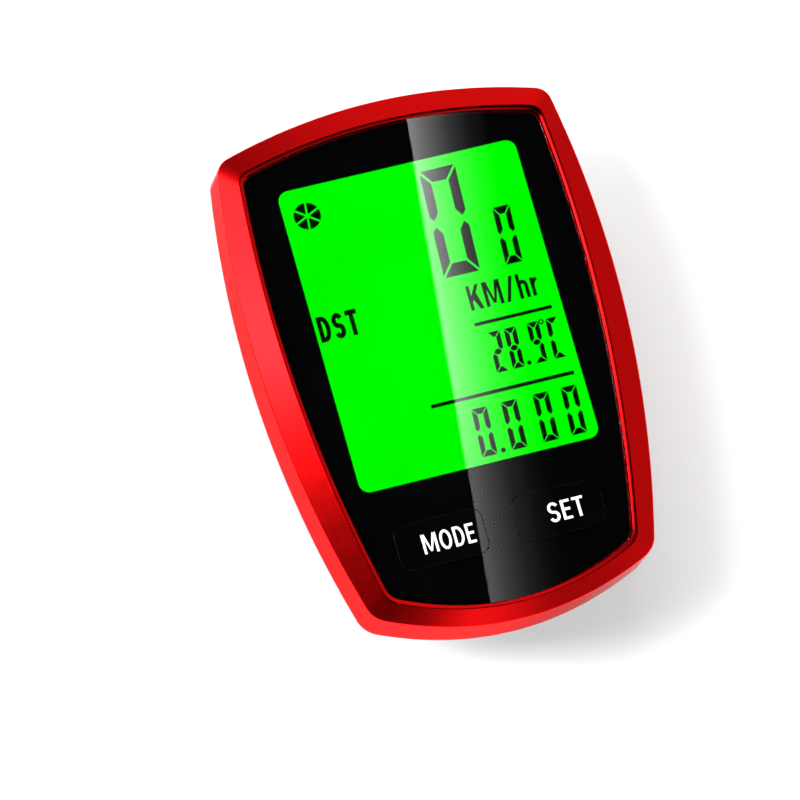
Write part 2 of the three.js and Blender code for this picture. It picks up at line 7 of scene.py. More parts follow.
import math

import bmesh
import bpy
from mathutils import Matrix, Vector


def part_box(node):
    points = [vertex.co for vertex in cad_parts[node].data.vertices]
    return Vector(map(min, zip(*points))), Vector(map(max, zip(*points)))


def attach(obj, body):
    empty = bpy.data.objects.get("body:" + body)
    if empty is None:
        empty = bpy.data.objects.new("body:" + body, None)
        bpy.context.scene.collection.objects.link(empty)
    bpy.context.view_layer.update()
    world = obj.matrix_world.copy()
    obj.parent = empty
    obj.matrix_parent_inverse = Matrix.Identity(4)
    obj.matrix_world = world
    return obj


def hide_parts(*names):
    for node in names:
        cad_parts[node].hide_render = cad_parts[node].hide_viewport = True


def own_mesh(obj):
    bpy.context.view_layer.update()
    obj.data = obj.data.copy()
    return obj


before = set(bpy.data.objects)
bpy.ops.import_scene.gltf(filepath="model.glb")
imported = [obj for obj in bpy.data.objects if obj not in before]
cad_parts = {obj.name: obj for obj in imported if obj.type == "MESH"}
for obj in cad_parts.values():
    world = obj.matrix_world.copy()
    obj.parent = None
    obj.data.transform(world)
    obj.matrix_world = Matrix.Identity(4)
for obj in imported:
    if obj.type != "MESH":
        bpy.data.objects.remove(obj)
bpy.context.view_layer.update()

MM = 0.001

# ------------------------ driving dimensions
# Outlines: half widths and heights of the virtual corners, bulge of each side, corner rounding.
BODY = dict(xt=21.0, yt=29.75, xb=17.75, yb=28.7, top=3.25, bottom=4.3, side=3.34, rt=1.4, rb=1.5)
LENS = dict(xt=18.7, yt=27.0, xb=15.25, yb=26.9, top=2.65, bottom=3.8, side=2.2, rt=1.1, rb=1.1)
STEPS = dict(arch=36, side=56, corner=10)
# A corner's rounding shrinks by half of the inset, down to a least one.
CORNER_SHRINK, CORNER_LEAST = 0.5, 0.6
# Points round the large circles of the battery bay and its cover.
ROUND = 72

BEZEL = dict(chamfer_h=1.3, skirt_t=1.5, flare=0.1, crest_out=0.56, crest_in=0.46, lens_gap=0.06,
             land_drop=0.15, seat_gap=0.05, ledge=1.2, ledge_t=0.65, wall=2.7, tongue_gap=0.8)
SCREEN = dict(w=30.2, y0=-13.9, y1=24.4, r=1.3)
# Key cap, its gap in the window, and how far the cap, flange and stem go down from the mask.
KEY = dict(w=11.0, h=5.6, r=1.3, gap=0.05, edge=0.02, cap_down=0.1, flange_down=0.6,
           flange_edge=0.08, stem_r=1.4, stem_down=0.5)
KEY_LEGEND = dict(y=-21.7, height=2.42, stroke=0.31, thick=0.012)


def low(node):
    """Lowest corner of a CAD node, in millimetres."""
    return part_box(node)[0] / MM


def high(node):
    """Highest corner of a CAD node, in millimetres."""
    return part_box(node)[1] / MM


LENS_TOP = high("window_lens").z
LENS_BACK = low("window_lens").z
SEAM_Z = low("front_bezel").z
LCD_FACE = high("lcd_front_polariser").z
RIM_TOP = high("front_bezel").z
TONGUE_TOP = high("rear_case").z
CASE_SEAM_Z = SEAM_Z - 0.05

# ------------------------ camera
CAMERA = dict(azimuth=-46.35, elevation=73.87, roll=31.53, distance=662.3, aim=(-7.55, -3.96),
              lens=248.96, sensor=36, clip=(0.01, 50))


def linked(name, data):
    """New object in the scene, round a mesh, curve, light or camera."""
    obj = bpy.data.objects.new(name, data)
    bpy.context.collection.objects.link(obj)
    return obj


def make_camera():
    """Camera on the photograph's line of sight, turned about it by the roll."""
    a, e = math.radians(CAMERA["azimuth"]), math.radians(CAMERA["elevation"])
    back = Vector((math.sin(a) * math.cos(e), -math.cos(a) * math.cos(e), math.sin(e)))
    level = Vector((math.cos(a), math.sin(a), 0))
    above = back.cross(level)
    r = math.radians(CAMERA["roll"])
    right = level * math.cos(r) + above * math.sin(r)
    up = above * math.cos(r) - level * math.sin(r)
    data = bpy.data.cameras.new("camera")
    data.lens, data.sensor_width = CAMERA["lens"], CAMERA["sensor"]
    data.clip_start, data.clip_end = CAMERA["clip"]
    camera = linked("camera", data)
    aim = Vector((*CAMERA["aim"], LENS_TOP))
    turn = Matrix((right, up, back)).transposed().to_4x4()
    camera.matrix_world = Matrix.Translation((aim + back * CAMERA["distance"]) * MM) @ turn
    bpy.context.scene.camera = camera


make_camera()


# ------------------------ outlines
def inset(spec, d):
    """The same outline drawn in from its edge by d (out, when d is negative)."""
    moved = {key: spec[key] - d for key in ("xt", "yt", "xb", "yb")}
    eased = {key: max(spec[key] - d * CORNER_SHRINK, CORNER_LEAST) for key in ("rt", "rb")}
    return {**spec, **moved, **eased}


def bulged_side(start, end, bulge, cut_start, cut_end, steps):
    """Points of a parabola between two corners, without the lengths that the corners take."""
    along = end - start
    outward = Vector((along.y, -along.x)).normalized()
    t0, t1 = cut_start / along.length, 1 - cut_end / along.length
    points = []
    for i in range(steps + 1):
        t = t0 + (t1 - t0) * i / steps
        points.append(start + along * t + outward * (4 * bulge * t * (1 - t)))
    return points


def outline(spec):
    """Shield outline: four bulged sides and four eased corners, as points running anticlockwise."""
    tr, tl = Vector((spec["xt"], spec["yt"])), Vector((-spec["xt"], spec["yt"]))
    bl, br = Vector((-spec["xb"], -spec["yb"])), Vector((spec["xb"], -spec["yb"]))
    rt, rb = spec["rt"], spec["rb"]
    sides = [
        bulged_side(tr, tl, spec["top"], rt, rt, STEPS["arch"]),
        bulged_side(tl, bl, spec["side"], rt, rb, STEPS["side"]),
        bulged_side(bl, br, spec["bottom"], rb, rb, STEPS["arch"]),
        bulged_side(br, tr, spec["side"], rb, rt, STEPS["side"]),
    ]
    points = []
    for i, (side, corner) in enumerate(zip(sides, (tl, bl, br, tr))):
        following = sides[(i + 1) % 4][0]
        points += side
        for k in range(1, STEPS["corner"]):
            t = k / STEPS["corner"]
            points.append(side[-1] * (1 - t) ** 2 + corner * (2 * t * (1 - t)) + following * t ** 2)
    return points


def rect(x0, x1, y0, y1):
    """Corners of a rectangle."""
    return [Vector((x0, y0)), Vector((x1, y0)), Vector((x1, y1)), Vector((x0, y1))]


def round_rect(w, h, r, x=0.0, y=0.0, steps=6):
    """Rectangle with round corners, centred at x, y."""
    points = []
    for cx, cy, turn in ((w / 2 - r, -h / 2 + r, -90), (w / 2 - r, h / 2 - r, 0),
                         (-w / 2 + r, h / 2 - r, 90), (-w / 2 + r, -h / 2 + r, 180)):
        for k in range(steps + 1):
            a = math.radians(turn + 90 * k / steps)
            points.append(Vector((x + cx + r * math.cos(a), y + cy + r * math.sin(a))))
    return points


def circle(r, x=0.0, y=0.0, steps=32):
    """Circle as points running anticlockwise."""
    turns = [2 * math.pi * k / steps for k in range(steps)]
    return [Vector((x + r * math.cos(a), y + r * math.sin(a))) for a in turns]


def sector(r0, r1, start, end, steps=8):
    """Sector of a flat ring, from one angle to another in degrees."""
    turns = [math.radians(start + (end - start) * k / steps) for k in range(steps + 1)]
    outer = [Vector((r1 * math.cos(a), r1 * math.sin(a))) for a in turns]
    inner = [Vector((r0 * math.cos(a), r0 * math.sin(a))) for a in reversed(turns)]
    return outer + inner


# ------------------------ meshes
def mesh_object(name, vertices, faces):
    """Object from points in millimetres, with its faces pointing out."""
    mesh = bpy.data.meshes.new(name)
    mesh.from_pydata([tuple(Vector(v) * MM) for v in vertices], [], faces)
    work = bmesh.new()
    work.from_mesh(mesh)
    bmesh.ops.recalc_face_normals(work, faces=work.faces)
    work.to_mesh(mesh)
    work.free()
    return linked(name, mesh)


def at_height(points, z):
    return [Vector((p.x, p.y, z)) for p in points]


def skin(name, rings, closed):
    """Skin over rings of equal count. A ring tube closes on itself; a stack gets flat ends."""
    n = len(rings[0])
    faces = []
    for i in range(len(rings) if closed else len(rings) - 1):
        a, b = i * n, (i + 1) % len(rings) * n
        faces += [(a + k, a + (k + 1) % n, b + (k + 1) % n, b + k) for k in range(n)]
    if not closed:
        last = (len(rings) - 1) * n
        faces += [tuple(reversed(range(n))), tuple(range(last, last + n))]
    return mesh_object(name, [p for ring in rings for p in ring], faces)


EASE_SHARE = 0.48


def rounded(rings, closed):
    """Rings with their creases eased. Each entry is (ring, ease in mm, steps).

    An ease takes at most EASE_SHARE of the way to the next ring.
    """
    result = []
    count = len(rings)
    for i, (ring, ease, steps) in enumerate(rings):
        at_end = not closed and i in (0, count - 1)
        if ease == 0 or at_end:
            result.append(ring)
            continue
        before, after = rings[i - 1][0], rings[(i + 1) % count][0]
        for k in range(steps + 1):
            t = k / steps
            eased = []
            for p, q, r in zip(before, ring, after):
                a = q + (p - q) * min(ease / (p - q).length, EASE_SHARE)
                b = q + (r - q) * min(ease / (r - q).length, EASE_SHARE)
                eased.append(a * (1 - t) ** 2 + q * (2 * t * (1 - t)) + b * t ** 2)
            result.append(eased)
    return result


def prism(name, points, z0, z1):
    """Upright solid over an outline."""
    return skin(name, [at_height(points, z0), at_height(points, z1)], closed=False)


def box(name, x0, x1, y0, y1, z0, z1):
    """Block between two corners."""
    return prism(name, rect(x0, x1, y0, y1), z0, z1)


def across(name, profile, x0, x1):
    """Profile drawn in Y and Z, extended along X."""
    rings = [[Vector((x, y, z)) for y, z in profile] for x in (x0, x1)]
    return skin(name, rings, closed=False)


def along_y(name, profile, y0, y1):
    """Profile drawn in X and Z, extended along Y."""
    rings = [[Vector((x, y, z)) for x, z in profile] for y in (y0, y1)]
    return skin(name, rings, closed=False)


def rod_x(name, r, x0, x1, y, z, edge=0.0, steps=32):
    """Round bar along X, with eased ends if an edge is given."""
    turns = [2 * math.pi * k / steps for k in range(steps)]
    stations = [(x0, r), (x1, r)]
    if edge:
        stations = [(x0, r - edge), (x0 + edge, r), (x1 - edge, r), (x1, r - edge)]
    rings = [[Vector((x, y + q * math.cos(a), z + q * math.sin(a))) for a in turns]
             for x, q in stations]
    return skin(name, rings, closed=False)


def plate(name, points, z0, z1, holes=(), edge=0.0):
    """Flat plate with holes and an eased edge."""
    curve = bpy.data.curves.new(name, "CURVE")
    curve.dimensions, curve.fill_mode = "2D", "BOTH"
    curve.extrude = (z1 - z0) / 2 * MM - edge * MM
    curve.bevel_depth, curve.bevel_resolution = edge * MM, 2
    curve.offset = -edge * MM
    for ring in (points, *holes):
        spline = curve.splines.new("POLY")
        spline.points.add(len(ring) - 1)
        for point, p in zip(spline.points, ring):
            point.co = (p.x * MM, p.y * MM, 0, 1)
        spline.use_cyclic_u = True
    obj = realised(linked(name, curve), name)
    obj.data.transform(Matrix.Translation((0, 0, (z0 + z1) / 2 * MM)))
    weld(obj)
    obj.data.shade_flat()
    return obj


def realised(source, name):
    """Object as a plain mesh object with its modifiers applied; the source goes."""
    graph = bpy.context.evaluated_depsgraph_get()
    mesh = bpy.data.meshes.new_from_object(source.evaluated_get(graph), depsgraph=graph)
    mesh.transform(source.matrix_world)
    bpy.data.objects.remove(source)
    mesh.name = name
    return linked(name, mesh)


def weld(obj, distance=0.002):
    """Joins points closer than the distance in millimetres."""
    work = bmesh.new()
    work.from_mesh(obj.data)
    bmesh.ops.remove_doubles(work, verts=work.verts, dist=distance * MM)
    bmesh.ops.recalc_face_normals(work, faces=work.faces)
    work.to_mesh(obj.data)
    work.free()


def cut(obj, tools):
    """obj without the space of the tools, which are used up."""
    name = obj.name
    for tool in tools:
        change = obj.modifiers.new("change", "BOOLEAN")
        change.operation, change.object, change.solver = "DIFFERENCE", tool, "EXACT"
        obj = realised(obj, name)
        bpy.data.objects.remove(tool)
    return obj


def smooth(obj, ease=0.0, angle=32, steps=2):
    """Eases edges sharper than the angle and shades what is round as round."""
    name = obj.name
    if ease:
        bevel = obj.modifiers.new("ease", "BEVEL")
        bevel.width, bevel.segments = ease * MM, steps
        bevel.limit_method, bevel.angle_limit = "ANGLE", math.radians(angle)
        bevel.use_clamp_overlap = True
    obj = realised(obj, name)
    obj.data.shade_smooth()
    obj.data.set_sharp_from_angle(angle=math.radians(angle))
    even = obj.modifiers.new("even", "WEIGHTED_NORMAL")
    even.keep_sharp, even.weight = True, 90
    return realised(obj, name)


def joined(name, objects):
    """Several mesh objects as one."""
    work = bmesh.new()
    for obj in objects:
        work.from_mesh(obj.data)
        bpy.data.objects.remove(obj)
    mesh = bpy.data.meshes.new(name)
    work.to_mesh(mesh)
    work.free()
    return linked(name, mesh)


def place(obj, material, body, slot, *nodes):
    """Gives a piece its material, its body and the CAD nodes that it stands for."""
    obj.data.materials.clear()
    obj.data.materials.append(material)
    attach(obj, body)
    if nodes:
        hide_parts(*nodes)
    return obj


# ------------------------ materials
def colour_ramp(tree, source, stops):
    """Colour ramp over source, from (position, colour) pairs."""
    node = tree.nodes.new("ShaderNodeValToRGB")
    elements = node.color_ramp.elements
    for _ in stops[2:]:
        elements.new(0.5)
    for element, (position, colour) in zip(elements, stops):
        element.position, element.color = position, (*colour, 1)
    tree.links.new(source, node.inputs["Fac"])
    return node.outputs["Color"]


def map_range(tree, source, given, wanted):
    """Source carried from the given range over to the wanted one."""
    node = tree.nodes.new("ShaderNodeMapRange")
    for word, ends in (("From", given), ("To", wanted)):
        for side, value in zip((" Min", " Max"), ends):
            node.inputs[word + side].default_value = value
    tree.links.new(source, node.inputs["Value"])
    return node.outputs["Result"]


class Look:
    """A Principled material with procedural detail. Texture positions are in millimetres."""

    def __init__(self, name, colour, roughness, metallic=0.0, **sockets):
        self.material = bpy.data.materials.new(name)
        self.material.use_nodes = True
        self.tree = self.material.node_tree
        self.add, self.link = self.tree.nodes.new, self.tree.links.new
        self.shader = self.tree.nodes["Principled BSDF"]
        self.colour = colour
        self.shader.inputs["Base Color"].default_value = (*colour, 1)
        self.shader.inputs["Roughness"].default_value = roughness
        self.shader.inputs["Metallic"].default_value = metallic
        by_word = {socket.name.lower().replace(" ", "_"): socket for socket in self.shader.inputs}
        for key, value in sockets.items():
            by_word[key].default_value = value
        coordinates = self.add("ShaderNodeTexCoord")
        self.mapping = self.add("ShaderNodeMapping")
        self.mapping.inputs["Scale"].default_value = (1 / MM,) * 3
        self.link(coordinates.outputs["Object"], self.mapping.inputs["Vector"])

    def noise(self, size, detail=3.0, stretch=(1, 1, 1)):
        """Noise with features of about size millimetres."""
        node = self.add("ShaderNodeTexNoise")
        node.inputs["Scale"].default_value = 1 / size
        node.inputs["Detail"].default_value = detail
        source = self.mapping.outputs["Vector"]
        if stretch != (1, 1, 1):
            pull = self.add("ShaderNodeMapping")
            pull.inputs["Scale"].default_value = stretch
            self.link(source, pull.inputs["Vector"])
            source = pull.outputs["Vector"]
        self.link(source, node.inputs["Vector"])
        return node.outputs["Fac"]

    def cells(self, size):
        """Distance to the nearest of scattered points about size millimetres apart."""
        node = self.add("ShaderNodeTexVoronoi")
        node.inputs["Scale"].default_value = 1 / size
        self.link(self.mapping.outputs["Vector"], node.inputs["Vector"])
        return node.outputs["Distance"]

    def ramp(self, source, start, end):
        """Colour from start to end over the middle of the source's range."""
        return colour_ramp(self.tree, source, ((0.35, start), (0.65, end)))

    def vary_colour(self, source, change):
        """Base colour that drifts by a share of itself."""
        darker = [c * (1 - change) for c in self.colour]
        lighter = [min(c * (1 + change), 1) for c in self.colour]
        self.link(self.ramp(source, darker, lighter), self.shader.inputs["Base Color"])
        return self

    def vary_roughness(self, source, lowest, highest):
        """Roughness that drifts between two values."""
        drift = map_range(self.tree, source, (0.3, 0.7), (lowest, highest))
        self.link(drift, self.shader.inputs["Roughness"])
        return self

    def bump(self, source, depth, strength=1.0):
        """Relief of depth millimetres."""
        node = self.add("ShaderNodeBump")
        node.inputs["Strength"].default_value = strength
        node.inputs["Distance"].default_value = depth * MM
        self.link(source, node.inputs["Height"])
        self.link(node.outputs["Normal"], self.shader.inputs["Normal"])
        return self


def red_enamel():
    """Anodised red: satin metal whose reflections stay red up to grazing angles."""
    look = Look("red_enamel", (0.8, 0.0006, 0.0016), 0.15, metallic=1.0,
                specular_tint=(1.0, 0.03, 0.04, 1.0), coat_weight=0.1, coat_roughness=0.15)
    look.vary_colour(look.noise(0.6, 4), 0.03)
    look.vary_roughness(look.noise(1.2, 3), 0.14, 0.165)
    return look.bump(look.noise(5, 0), 0.006).material


def panel_gloss():
    look = Look("panel_gloss", (0.0008, 0.0008, 0.001), 0.0, ior=1.49)
    look.vary_colour(look.noise(6), 0.2)
    return look.vary_roughness(look.noise(2.5, 2), 0.006, 0.012).material


def window_clear():
    look = Look("window_clear", (1, 1, 1), 0.0, ior=1.49, transmission_weight=1.0)
    return look.vary_roughness(look.noise(2.5, 2), 0.006, 0.012).material


def mask_ink():
    look = Look("mask_ink", (0.0015, 0.0015, 0.002), 0.8, specular_ior_level=0.0)
    return look.vary_colour(look.noise(0.5), 0.3).material


def screen_green():
    """Backlit face: even green with a faint unevenness towards the lamps."""
    look = Look("screen_green", (0.0, 0.03, 0.0), 0.35, specular_ior_level=0.0)
    glow = look.ramp(look.noise(18, 1), (0.0, 0.94, 0.0), (0.0, 1.0, 0.0))
    look.link(glow, look.shader.inputs["Emission Color"])
    look.shader.inputs["Emission Strength"].default_value = 1.05
    return look.vary_roughness(look.noise(0.3), 0.3, 0.4).material


def segment_dark():
    look = Look("segment_dark", (0.003, 0.006, 0.003), 0.5, specular_ior_level=0.0)
    return look.vary_colour(look.noise(0.4), 0.25).material


def legend_white():
    look = Look("legend_white", (0.86, 0.86, 0.86), 0.3)
    return look.vary_colour(look.noise(0.2), 0.03).material


def black_moulded(name="black_moulded", grain=0.16, depth=0.012, colour=(0.011, 0.011, 0.012)):
    """Spark-eroded black plastic."""
    look = Look(name, colour, 0.5)
    look.vary_colour(look.noise(1.2, 4), 0.18)
    look.vary_roughness(look.noise(0.5, 4), 0.42, 0.6)
    return look.bump(look.cells(grain), depth, 0.8).material


def black_rubber():
    look = Look("black_rubber", (0.013, 0.013, 0.014), 0.8)
    look.vary_colour(look.noise(2.0, 5), 0.25)
    look.vary_roughness(look.noise(0.8, 4), 0.7, 0.9)
    return look.bump(look.noise(0.2, 4), 0.02, 0.8).material


def plated_steel(name="plated_steel", colour=(0.56, 0.56, 0.57), stretch=(1, 8, 1)):
    look = Look(name, colour, 0.28, metallic=1.0)
    look.vary_colour(look.noise(0.8, 4), 0.08)
    look.vary_roughness(look.noise(0.3, 4, stretch), 0.2, 0.38)
    return look.bump(look.noise(0.2, 3, stretch), 0.002).material


def clear_glass():
    look = Look("clear_glass", (0.82, 0.93, 0.86), 0.0, ior=1.5, transmission_weight=1.0)
    return look.vary_roughness(look.noise(2, 2), 0.0, 0.03).material


def white_moulded():
    look = Look("white_moulded", (0.8, 0.8, 0.77), 0.45)
    look.vary_colour(look.noise(1.5, 4), 0.04)
    return look.bump(look.noise(0.15, 3), 0.006).material


def circuit_board():
    """Green solder mask with the tracks showing through as faint steps."""
    look = Look("circuit_board", (0.008, 0.07, 0.022), 0.35)
    look.vary_colour(look.noise(0.9, 1, (1, 6, 1)), 0.35)
    return look.bump(look.noise(0.7, 0, (6, 1, 1)), 0.02).material


def plain_grain(name, colour, roughness):
    """Small hidden parts: colour drift and a fine grain."""
    look = Look(name, colour, roughness)
    look.vary_colour(look.noise(1.0, 4), 0.15)
    return look.bump(look.noise(0.25, 3), 0.01).material


def copper_winding():
    """Enamelled wire, wound turn by turn along X."""
    look = Look("copper_winding", (0.5, 0.13, 0.035), 0.3, metallic=1.0)
    wave = look.add("ShaderNodeTexWave")
    wave.bands_direction = "X"
    wave.inputs["Scale"].default_value = 1.6
    look.link(look.mapping.outputs["Vector"], wave.inputs["Vector"])
    look.vary_colour(look.noise(0.4, 2), 0.2)
    return look.bump(wave.outputs["Fac"], 0.05).material


RED = red_enamel()
PANEL = panel_gloss()
CLEAR = window_clear()
INK = mask_ink()
GREEN = screen_green()
SEGMENT = segment_dark()
LEGEND = legend_white()
BLACK = black_moulded()
COVER_BLACK = black_moulded("cover_black", 0.3, 0.006, (0.014, 0.014, 0.015))
RUBBER = black_rubber()
STEEL = plated_steel()
GLASS = clear_glass()
WHITE = white_moulded()


# ------------------------ front of the head unit
def ring_of(spec, d, z):
    """Outline drawn in by d, at height z."""
    return at_height(outline(inset(spec, d)), z)


def front_bezel():
    """Red shell: tall side wall, broad chamfer, narrow crest, land sloping to the window."""
    seat = LENS_BACK - BEZEL["seat_gap"]
    ledge_back = seat - BEZEL["ledge_t"]
    tongue_clear = TONGUE_TOP + BEZEL["tongue_gap"]
    section = [
        (ring_of(BODY, -BEZEL["flare"], SEAM_Z), 0.25, 4),
        (ring_of(BODY, 0.0, LENS_TOP - BEZEL["chamfer_h"]), 0.14, 3),
        (ring_of(LENS, -BEZEL["crest_out"], RIM_TOP - 0.02), 0.06, 3),
        (ring_of(LENS, -BEZEL["crest_in"], RIM_TOP), 0.06, 3),
        (ring_of(LENS, -BEZEL["lens_gap"], RIM_TOP - BEZEL["land_drop"]), 0.04, 2),
        (ring_of(LENS, -BEZEL["lens_gap"], seat), 0, 0),
        (ring_of(LENS, BEZEL["ledge"], seat), 0, 0),
        (ring_of(LENS, BEZEL["ledge"], ledge_back), 0, 0),
        (ring_of(BODY, BEZEL["wall"], ledge_back), 0, 0),
        (ring_of(BODY, BEZEL["wall"], tongue_clear), 0, 0),
        (ring_of(BODY, BEZEL["skirt_t"], tongue_clear), 0, 0),
        (ring_of(BODY, BEZEL["skirt_t"], SEAM_Z), 0.1, 2),
    ]
    shell = skin("bezel_shell", rounded(section, closed=True), closed=True)
    return place(smooth(shell, angle=40), RED, "head", "red_shell", "front_bezel")


def key_middle(side):
    """Middle of a key's CAD node, in X and Y."""
    return (low(f"{side}_key").xy + high(f"{side}_key").xy) / 2


def key_hole(side):
    """Outline of the key's hole in the window and its ink."""
    c = key_middle(side)
    return round_rect(KEY["w"] + 2 * KEY["gap"], KEY["h"] + 2 * KEY["gap"], KEY["r"] + KEY["gap"],
                      c.x, c.y)


def window_lens():
    """Clear window with the two key holes."""
    holes = [key_hole("mode"), key_hole("set")]
    lens = plate("window", outline(LENS), LENS_BACK, LENS_TOP, holes, edge=KEY["edge"])
    return place(lens, CLEAR, "head", "window", "window_lens")


def panel_mask():
    """Ink just inside the window's rear face, open over the screen and the keys."""
    screen = round_rect(SCREEN["w"], SCREEN["y1"] - SCREEN["y0"], SCREEN["r"],
                        0, (SCREEN["y0"] + SCREEN["y1"]) / 2)
    holes = [screen, key_hole("mode"), key_hole("set")]
    ink = plate("panel_ink", outline(inset(LENS, 0.15)), LENS_BACK + 0.02, LENS_BACK + 0.05, holes)
    return place(ink, INK, "head", "black_panel", "panel_mask")


def key_cap(side):
    """Flush key: cap, flange that holds it in, and stem down to the switch."""
    c = key_middle(side)
    name, node = f"{side}_cap", f"{side}_key"
    top = low("panel_mask").z - 0.05
    cap = plate(name, round_rect(KEY["w"], KEY["h"], KEY["r"], c.x, c.y), top - KEY["cap_down"],
                LENS_TOP, edge=KEY["edge"])
    size = (high(node) - low(node)).xy
    flange = plate(name, round_rect(*size, KEY["r"], c.x, c.y), top - KEY["flange_down"], top,
                   edge=KEY["flange_edge"])
    stem = prism(name, circle(KEY["stem_r"], c.x, c.y), low(node).z, top - KEY["stem_down"])
    key = joined(name, [cap, flange, stem])
    return place(key, PANEL, f"{side}_button", "black_panel", node)


def mitre(u, v, d):
    """Step from a bend between directions u and v to the corner of the path d to its left."""
    nu, nv = Vector((-u.y, u.x)), Vector((-v.y, v.x))
    return (nu + nv) * (d / (1 + nu.dot(nv)))


def ribbon(points, t, closed=False):
    """Four-sided pieces of a stroke t wide along a path."""
    points = [Vector(p) for p in points]
    count = len(points)
    edges = []
    for i, p in enumerate(points):
        before = points[i - 1] if closed or i else None
        after = points[(i + 1) % count] if closed or i < count - 1 else None
        u = (p - before).normalized() if before is not None else (after - p).normalized()
        v = (after - p).normalized() if after is not None else u
        side = mitre(u, v, t / 2)
        edges.append((p + side, p - side))
    pairs = list(zip(edges, edges[1:] + edges[:1] if closed else edges[1:]))
    return [[a[0], a[1], b[1], b[0]] for a, b in pairs]


def arc(cx, cy, rx, ry, start, end, steps=10):
    """Points of an elliptic arc, between two angles in degrees."""
    turns = [math.radians(start + (end - start) * k / steps) for k in range(steps + 1)]
    return [(cx + rx * math.cos(a), cy + ry * math.sin(a)) for a in turns]


# Widths, spacing and lower-case height as shares of the capital height.
LETTER_WIDTH = {"M": 0.76, "O": 0.6, "D": 0.52, "E": 0.42, "S": 0.5, "T": 0.5, "K": 0.56, "/": 0.46,
                "h": 0.44, "r": 0.3}
LETTER_SPACE = 0.13
LOWER_CASE = 0.74


def letter(character, t):
    """Strokes t wide of one sans-serif letter of unit height."""
    w, half = LETTER_WIDTH[character], t / 2
    stem = rect(0, t, 0, 1)
    if character == "M":
        down = [Vector((t * 0.4, 1)), Vector((w / 2 - t * 0.4, 0.1)), Vector((w / 2, 0.1)),
                Vector((w / 2, 0.1 + t)), Vector((t * 1.35, 1))]
        return [stem, rect(w - t, w, 0, 1), down, [Vector((w - p.x, p.y)) for p in down]]
    if character == "E":
        middle = rect(t, w * 0.94, 0.52 - half, 0.52 + half)
        return [stem, rect(t, w, 0, t), rect(t, w, 1 - t, 1), middle]
    if character == "T":
        return [rect(0, w, 1 - t, 1), rect(w / 2 - half, w / 2 + half, 0, 1 - t)]
    if character == "/":
        return [[Vector((0, 0)), Vector((t, 0)), Vector((w, 1)), Vector((w - t, 1))]]
    if character == "K":
        fork = 0.3
        rise, slab = 0.7 / (w - t), 1.1 * t
        arm = [(t, fork), (w, 1), (w - slab, 1), (t, fork + slab * rise)]
        x0 = t + 0.16 * (w - t)
        foot = [(w - slab, 0), (w, 0), (x0 + slab, fork + (x0 + slab - t) * rise),
                (x0, fork + (x0 - t) * rise)]
        return [stem] + [[Vector(p) for p in shape] for shape in (arm, foot)]
    if character == "h":
        arch = arc(w / 2, LOWER_CASE - half - 0.16, w / 2 - half, 0.16, 180, 0) + [(w - half, 0)]
        return [stem] + ribbon(arch, t)
    if character == "r":
        curl = arc(w, 0.36, w - half, LOWER_CASE - half - 0.36, 165, 92, 6)
        return [rect(0, t, 0, LOWER_CASE)] + ribbon(curl, t)
    if character == "D":
        curve = arc(w * 0.4, 0.5, w * 0.6 - half, 0.5 - half, -90, 90, 14)
        return ribbon([(half, half), *curve, (half, 1 - half)], t, closed=True)
    if character == "O":
        return ribbon(arc(w / 2, 0.5, w / 2 - half, 0.5 - half, 0, 345, 23), t, closed=True)
    bowl = (0.5 - half) / 2
    upper = arc(w / 2, 0.5 + bowl, w / 2 - half, bowl, 22, 270, 14)
    return ribbon(upper + arc(w / 2, 0.5 - bowl, w / 2 - half, bowl, 90, -158, 14)[1:], t)


def lettering(name, text, x, y, height, width, stroke, z, thick=0.02):
    """Word centred at x, y: capital height, overall width and stroke as given."""
    natural = sum(LETTER_WIDTH[c] for c in text) + LETTER_SPACE * (len(text) - 1)
    pull = width / natural
    pieces = []
    start = 0.0
    for character in text:
        for shape in letter(character, stroke / height):
            points = [Vector((x + (start + p.x - natural / 2) * pull, y + (p.y - 0.5) * height))
                      for p in shape]
            pieces.append(prism(name, points, z, z + thick))
        start += LETTER_WIDTH[character] + LETTER_SPACE
    return joined(name, pieces)


def key_legend(side, text, x, width):
    """White word printed on a key, which moves with it."""
    word = lettering(f"{side}_legend", text, x, KEY_LEGEND["y"], KEY_LEGEND["height"], width,
                     KEY_LEGEND["stroke"], LENS_TOP, KEY_LEGEND["thick"])
    return place(word, LEGEND, f"{side}_button", "black_panel")


front_bezel()
window_lens()
panel_mask()
key_cap("mode")
key_cap("set")
key_legend("mode", "MODE", -6.5, 6.5)
key_legend("set", "SET", 8.33, 4.5)


# ------------------------ rear of the head unit
CASE = dict(z0=8.3, floor=1.3, screw_recess=1.35, screw_seat=10.0, post=1.7, pilot=0.75)
CASE_SCREWS = ((15.8, 27.3), (-15.8, 27.3), (11.5, -27.3), (-11.5, -27.3))
FOOT = dict(x=15.0, neck=13.4, y0=-14.0, y1=17.0, flange_top=6.45)
NOTCH = dict(x=3.2, y0=14.3, y1=16.1, depth=1.2)
BAY = dict(mouth=11.45, groove=12.4, groove_z=6.0, seal_z=6.9, seal_r=11.4, seal_top=7.7, r=10.4,
           wall=1.2, top=11.3)
LUG = dict(angles=(0, 120, 240), half=10.0, clear=2, turn=50.0, r0=10.6, r=12.2, z=6.15)
# Battery cover: lid, coin slot (length, width, rounding), turned ring and finger dimple.
LID = dict(r=11.3, slot=(14, 2.0, 0.9), slot_depth=0.9, ring=(9.45, 9.9), ring_depth=0.18,
           dot_r=0.55, dot_y=8.2, dot_depth=0.25)
SCREW = dict(head_r=1.15, shank_r=0.6, cross=(0.72, 0.17), cross_depth=0.5)


def foot_outline(half_width, r):
    """Outline of the sliding foot, at its flange or its neck."""
    length = FOOT["y1"] - FOOT["y0"]
    return round_rect(2 * half_width, length, r, 0, (FOOT["y0"] + FOOT["y1"]) / 2)


